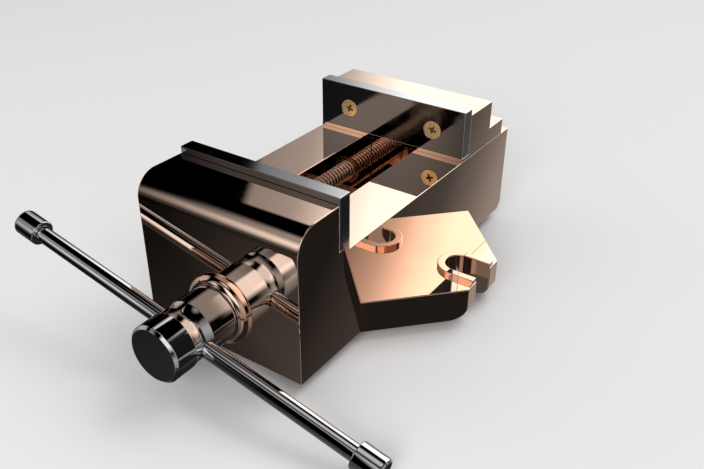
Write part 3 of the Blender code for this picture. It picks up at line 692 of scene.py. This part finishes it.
def make_spindle_head():
    """The chromed round head: a turned chamfer round its front face, a shallow waist, and the
    bar's cross hole."""
    front_round, back_round = 0.5 * MM, 0.3 * MM
    corners = [(HEAD_FRONT, 0), (HEAD_FRONT, HEAD_RADIUS - HEAD_CHAMFER),
               (HEAD_FRONT + HEAD_CHAMFER, HEAD_RADIUS), (HEAD_BACK, HEAD_RADIUS), (HEAD_BACK, 0)]
    outside = rounded(corners, [0, front_round, front_round, back_round, 0])
    waist = waist_profile()
    waist_start, waist_end = waist[0][0], waist[-1][0]
    close_by = 0.1 * MM                 # rings that keep the plain stretches' shading straight
    profile = [point for point in outside if point[0] < waist_start]
    profile += [(waist_start - close_by, HEAD_RADIUS)] + waist + [(waist_end + close_by, HEAD_RADIUS)]
    profile += [point for point in outside if point[0] > waist_end]
    head = raw_object("head", lathe(profile), ON_SCREW)
    cut(head, cylinder(SPIGOT_RADIUS + GAP, HEAD_BACK - SPIGOT_HOLE, HEAD_BACK + PAST), ON_SCREW)
    past_head = 20 * MM
    cut(head, cylinder(BAR_RADIUS + GAP, -past_head, past_head, segments=64), BAR_FRAME)
    dress(head, "spindle_head", "bright_chrome", HEAD_EDGE, edge_steps=2)


def threaded_rod(start, end, segments=40):
    """A right-hand thread about +Z: each turn's rows climb one pitch as the angle goes round."""
    rise = 0.06 * MM                    # softens where the flanks meet the root and the crest
    # one turn's profile, as (share of the pitch, radius) points
    rows = [(0.0, ROOT_RADIUS), (0.14, ROOT_RADIUS), (0.19, ROOT_RADIUS + rise),
            (0.40, CREST_RADIUS - rise), (0.45, CREST_RADIUS), (0.73, CREST_RADIUS),
            (0.78, CREST_RADIUS - rise), (0.97, ROOT_RADIUS + rise)]
    turns = int((end - start) / PITCH) - 1
    bm = bmesh.new()

    def vertex(column, row):
        turn, place_in_turn = divmod(row, len(rows))
        share, radius = rows[place_in_turn]
        angle = 2 * math.pi * column / segments
        height = start + PITCH * (turn + share + column / segments)
        return bm.verts.new((radius * math.cos(angle), radius * math.sin(angle), height))

    count = turns * len(rows)
    columns = [[vertex(0, row) for row in range(count + len(rows) + 1)]]
    columns += [[vertex(column, row) for row in range(count + 1)] for column in range(1, segments)]
    for column in range(segments):
        here = columns[column]
        there = columns[0][len(rows):] if column == segments - 1 else columns[column + 1]
        for row in range(count):
            bm.faces.new((here[row], here[row + 1], there[row + 1], there[row]))
    first_loop = [column[0] for column in columns] + columns[0][len(rows):0:-1]
    last_loop = [column[count] for column in columns] + columns[0][count + len(rows):count:-1]
    for loop, height in ((first_loop, start), (last_loop, start + PITCH * (turns + 1))):
        centre = bm.verts.new((0, 0, height))
        for here, there in zip(loop, loop[1:] + loop[:1]):
            bm.faces.new((here, there, centre))
    return bm


def make_lead_screw():
    """The threaded rod, joined to its journal with a spigot for the head and to its plain tail."""
    journal_end = collar_hi.y + GAP + JOURNAL_PAST
    tail_start = REAR_Y - REAR_WALL - TAIL_LEAD
    rod = threaded_rod(journal_end - PITCH, tail_start - PAST)
    screw = raw_object("lead_screw_fine", rod, ON_SCREW)
    shoulder = HEAD_BACK + GAP
    journal = lathe([(screw_lo.y, 0), (screw_lo.y, SPIGOT_RADIUS - SPIGOT_CHAMFER),
                     (screw_lo.y + SPIGOT_CHAMFER, SPIGOT_RADIUS), (shoulder, SPIGOT_RADIUS),
                     (shoulder, JOURNAL_RADIUS), (journal_end - JOURNAL_CHAMFER, JOURNAL_RADIUS),
                     (journal_end, JOURNAL_RADIUS - JOURNAL_CHAMFER), (journal_end, 0)])
    join(screw, journal, ON_SCREW)
    land = CREST_RADIUS + 0.1 * MM      # covers the thread's last two turns
    tail = lathe([(tail_start - 2 * PITCH, 0), (tail_start - 2 * PITCH, land),
                  (tail_start, land), (tail_start, TAIL_RADIUS),
                  (screw_hi.y - TAIL_CHAMFER, TAIL_RADIUS), (screw_hi.y, TAIL_RADIUS - TAIL_CHAMFER),
                  (screw_hi.y, 0)])
    join(screw, tail, ON_SCREW)
    dress(screw, "lead_screw", "machined_steel")


# ---------------------------------------------------------------- tommy bar
def make_tommy_bar():
    """The bar with a spigot at each end, and the two caps on the spigots."""
    half = BAR_SHOULDER + BAR_SPIGOT_LENGTH
    shoulder_round = 0.3 * MM
    profile = rounded([(-half, 0), (-half, BAR_SPIGOT_RADIUS), (-BAR_SHOULDER, BAR_SPIGOT_RADIUS),
                       (-BAR_SHOULDER, BAR_RADIUS), (BAR_SHOULDER, BAR_RADIUS),
                       (BAR_SHOULDER, BAR_SPIGOT_RADIUS), (half, BAR_SPIGOT_RADIUS), (half, 0)],
                      [0, 0, 0, shoulder_round, shoulder_round, 0, 0, 0])
    dress(raw_object("bar", lathe(profile), BAR_FRAME), "handle_bar", "bright_chrome")
    inner = BAR_SHOULDER + GAP
    outer = inner + CAP_LENGTH
    bore = BAR_SPIGOT_RADIUS + GAP
    mouth_round, inner_round, outer_round = 0.2 * MM, 0.6 * MM, 1.6 * MM
    profile = rounded([(half + GAP, 0), (half + GAP, bore), (inner, bore), (inner, CAP_RADIUS),
                       (outer, CAP_RADIUS), (outer, 0)],
                      [0, 0, mouth_round, inner_round, outer_round, 0], steps=10)
    other_way = BAR_FRAME @ Matrix.Rotation(math.radians(180), 4, "Y")
    for side, placed in (("right", BAR_FRAME), ("left", other_way)):
        cap = raw_object("cap_" + side, lathe(profile), placed)
        dress(cap, "handle_cap_" + side, "bright_chrome")


# ---------------------------------------------------------------- inner rings, turned again
def make_ring(node, slot, start, end, bore, radius, roundings):
    """A ring on the screw: roundings go from its front bore to its back bore, round the outside."""
    profile = rounded([(start, bore), (start, radius), (end, radius), (end, bore)], roundings)
    ring = raw_object(node + "_fine", lathe(profile, hollow=True), ON_SCREW)
    dress(ring, node, slot)


def make_inner_rings():
    bore_round, washer_round, collar_round, tail_round = 0.2 * MM, 0.3 * MM, 0.9 * MM, 0.4 * MM
    make_ring("thrust_washer", "bearing_bronze", washer_lo.y, washer_hi.y, JOURNAL_BORE, washer_hi.x,
              [bore_round, washer_round, washer_round, bore_round])
    make_ring("retaining_collar", "machined_steel", collar_lo.y, collar_hi.y, JOURNAL_BORE,
              collar_hi.x, [bore_round, collar_round, collar_round, bore_round])
    make_ring("tail_bush", "bearing_bronze", tail_lo.y, tail_hi.y, TAIL_RADIUS + GAP, tail_hi.x,
              [bore_round, bore_round, tail_round, tail_round])


# ---------------------------------------------------------------- nodes whose CAD shape is kept
KEPT_NODES = {
    "bearing_bronze": ["lead_nut"],
    "machined_steel": ["keeper_plate"],
    "dark_steel": ["head_pin", "collar_grub_screw", "nut_screw_left", "nut_screw_right",
                   "keeper_screw_1", "keeper_screw_2", "keeper_screw_3", "keeper_screw_4"],
}


def finish_kept_nodes():
    for slot, nodes in KEPT_NODES.items():
        for node in nodes:
            thing = frame["nodes"][node]
            thing.data.materials.clear()
            thing.data.materials.append(METALS[slot])


# ---------------------------------------------------------------- studio
def make_floor():
    """A pale round floor just under the lowest point, left out of mirror reflections."""
    bm = bmesh.new()
    bmesh.ops.create_circle(bm, cap_ends=True, radius=6.0, segments=96)
    floor = raw_object("floor", bm)
    floor.location.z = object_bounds()[0].z - 0.5 * MM
    material = bpy.data.materials.new("pale_floor")
    material.use_nodes = True
    shader = material.node_tree.nodes["Principled BSDF"]
    shader.inputs["Base Color"].default_value = (0.62, 0.62, 0.62, 1.0)
    shader.inputs["Roughness"].default_value = 0.9
    shader.inputs["Specular IOR Level"].default_value = 0.0
    floor.data.materials.append(material)
    floor.visible_glossy = False


def panel_light(name, spot, aim, size, power):
    """A soft rectangular light, left out of mirror reflections: the world holds those panels."""
    lamp = bpy.data.lights.new(name, "AREA")
    lamp.shape = "RECTANGLE"
    lamp.size, lamp.size_y = size
    lamp.energy = power
    thing = bpy.data.objects.new(name, lamp)
    bpy.context.scene.collection.objects.link(thing)
    thing.location = spot
    thing.rotation_euler = (Vector(aim) - Vector(spot)).to_track_quat("-Z", "Y").to_euler()
    thing.visible_glossy = False


# The studio that reflections see. Each panel's brightness is the product of its levels along the
# direction's components, given as (component, level) stops. Slanted is X less a fifth of Z.
SLANT = 0.2
# along Y both sides are bright, with one dark gap towards the front and one towards the rear
SIDE_BANDS = [(-0.64, 1), (-0.61, 0), (-0.53, 0), (-0.50, 1), (0.45, 1), (0.485, 0), (0.55, 0), (0.58, 1)]
PANELS = {
    "faint light from below": {
        "z": [(-1, 0.004), (-0.1, 0.003), (0.1, 0)]},
    "behind, above the horizon": {
        "x": [(-1, 0), (-0.601, 0), (-0.594, 0.36), (-0.55, 0.48), (-0.53, 0.75), (-0.51, 1.15),
              (-0.47, 1.9), (-0.40, 1.9), (0.3, 2.6), (0.38, 2.4), (0.405, 1.9), (0.432, 1.1),
              (0.446, 0.8), (0.47, 0.5), (0.50, 0.15), (0.56, 0.02), (1, 0.01)],
        "y": [(0.04, 0), (0.22, 1)],
        "z": [(-0.06, 0), (0.06, 1), (0.69, 1), (0.76, 0)]},
    "behind, below the horizon": {
        "x": [(-1, 0.02), (-0.6, 0.05), (0.0, 0.5), (0.3, 0.45), (0.345, 0.38), (0.37, 0.20),
              (0.40, 0.08), (0.5, 0.013), (1, 0.01)],
        "y": [(0.0, 0), (0.3, 1)],
        "z": [(-0.80, 0), (-0.65, 1), (-0.06, 1), (0.06, 0)]},
    "front left, with a slanted edge": {
        "slanted": [(-0.78, 0), (-0.764, 0.03), (-0.734, 0.24), (-0.70, 0.48), (-0.68, 0.62),
                    (-0.65, 0.85), (-0.59, 1.3), (-0.53, 1.2), (-0.45, 0.1), (-0.35, 0)],
        "y": [(-0.6, 1), (-0.35, 0)],
        "z": [(-0.22, 0), (-0.03, 0.10), (0.20, 0.85), (0.28, 1.0), (0.5, 0.45), (0.58, 0.15),
              (0.62, 0)]},
    "front": {
        "x": [(-0.1, 0), (0.05, 1)],
        "y": [(-0.62, 1.5), (-0.585, 1.1), (-0.565, 0.05), (-0.56, 0)],
        "z": [(0.05, 0), (0.3, 1), (0.85, 1), (0.95, 0.3)]},
    "soft glow round the front panel": {
        "x": [(-0.65, 0), (-0.5, 1), (0.7, 1), (0.78, 0)],
        "y": [(-0.66, 0), (-0.60, 0.5), (-0.52, 0.45), (-0.45, 0.15), (-0.38, 0)],
        "z": [(0.15, 0), (0.3, 1)]},
    "in front, below the horizon": {
        "x": [(-0.68, 0), (-0.66, 0.005), (-0.60, 0.02), (-0.55, 0.03), (-0.4, 0.06), (0, 0.2),
              (0.3, 0.35), (0.6, 0.5), (0.7, 0.5), (0.8, 0)],
        "y": [(-0.62, 1), (-0.585, 0.8), (-0.56, 0.12), (-0.5, 0.1), (-0.4, 0)],
        "z": [(-0.95, 0.3), (-0.75, 1), (-0.30, 1), (-0.1, 0)]},
    "straight below": {
        "x": [(-0.8, 0.08), (-0.45, 0.16), (-0.36, 0.12), (-0.28, 0.02), (1, 0.02)],
        "z": [(-1, 1), (-0.75, 1), (-0.66, 0.25), (-0.5, 0.04), (-0.4, 0)]},
    "right side": {
        "x": [(0.56, 0), (0.68, 0.6)],
        "y": SIDE_BANDS,
        "z": [(-0.53, 0.02), (-0.42, 0.4), (-0.1, 0.8), (0.1, 1), (0.35, 1), (0.6, 0.5), (0.9, 0.2)]},
    "left side": {
        "x": [(-0.84, 0.7), (-0.75, 0)],
        "y": SIDE_BANDS,
        "z": [(-0.8, 0.05), (-0.5, 0.3), (-0.1, 0.6), (0.1, 1), (0.6, 0.9), (0.9, 0.5)]},
    "overhead": {
        "z": [(0.93, 0), (0.97, 0.3), (0.99, 0.9)]},
}


def make_world():
    """Pale surroundings for the eye and the floor, and the panels above for reflections."""
    world = bpy.data.worlds.new("studio")
    bpy.context.scene.world = world
    world.use_nodes = True
    world.cycles.sampling_method = "NONE"
    tree = world.node_tree
    x, y, z = components(tree, coordinates(tree, "Generated"))
    slanted = maths(tree, "SUBTRACT", x, maths(tree, "MULTIPLY", z, SLANT))
    along = {"x": x, "y": y, "z": z, "slanted": slanted}

    def combined(operation, values):
        return reduce(lambda first, second: maths(tree, operation, first, second), values)

    brightness = combined("ADD", [
        combined("MULTIPLY", [ramp(tree, along[part], stops) for part, stops in panel.items()])
        for panel in PANELS.values()])
    seen = tree.nodes["Background"]
    seen.inputs["Color"].default_value = (0.90, 0.90, 0.90, 1.0)
    seen.inputs["Strength"].default_value = 0.75
    mirrored = tree.nodes.new("ShaderNodeBackground")
    tree.links.new(brightness, mirrored.inputs["Strength"])
    mix = tree.nodes.new("ShaderNodeMixShader")
    tree.links.new(tree.nodes.new("ShaderNodeLightPath").outputs["Is Glossy Ray"], mix.inputs[0])
    tree.links.new(seen.outputs[0], mix.inputs[1])
    tree.links.new(mirrored.outputs[0], mix.inputs[2])
    tree.links.new(mix.outputs[0], tree.nodes["World Output"].inputs["Surface"])


def make_camera():
    """At the viewing angle of the picture: from the front right, looking down."""
    azimuth, elevation, roll = math.radians(34.17), math.radians(30.79), math.radians(0.39)
    distance = 0.53783
    target = Vector((-0.02314, 0.03979, -0.01358))
    back = Vector((math.sin(azimuth) * math.cos(elevation), -math.cos(azimuth) * math.cos(elevation),
                   math.sin(elevation)))
    level_right = (-back).cross(Vector((0, 0, 1))).normalized()
    level_up = level_right.cross(-back)
    right = math.cos(roll) * level_right + math.sin(roll) * level_up
    up = -math.sin(roll) * level_right + math.cos(roll) * level_up
    lens = bpy.data.cameras.new("camera")
    lens.lens = 41.375
    lens.sensor_width = 36.0
    lens.clip_start = 0.01
    lens.clip_end = 50.0
    camera = bpy.data.objects.new("camera", lens)
    bpy.context.scene.collection.objects.link(camera)
    turn = Matrix((right, up, back)).transposed().to_4x4()
    camera.matrix_world = Matrix.Translation(target + back * distance) @ turn
    bpy.context.scene.camera = camera


make_base()
make_jaw_plate("front_jaw_plate", plate_lo, plate_hi, FRONT_PLATE_FACE, TO_FRONT)
make_jaw_plate("rear_jaw_plate", rear_plate_lo, rear_plate_hi, REAR_PLATE_FACE, TO_REAR)
make_sliding_jaw()
make_bush()
make_spindle_head()
make_lead_screw()
make_tommy_bar()
make_inner_rings()
finish_kept_nodes()
make_floor()
make_world()
panel_light("key", spot=(0.5, 0.9, 1.6), aim=(0, 0, 0.03), size=(1.4, 1.0), power=16.0)
panel_light("fill", spot=(-1.4, -0.6, 1.2), aim=(0, 0, 0.03), size=(1.2, 1.2), power=5.0)
panel_light("front", spot=(0.35, -1.4, 0.75), aim=(0, 0, 0.05), size=(0.7, 0.7), power=14.0)
make_camera()
bpy.context.scene.view_settings.view_transform = "Standard"
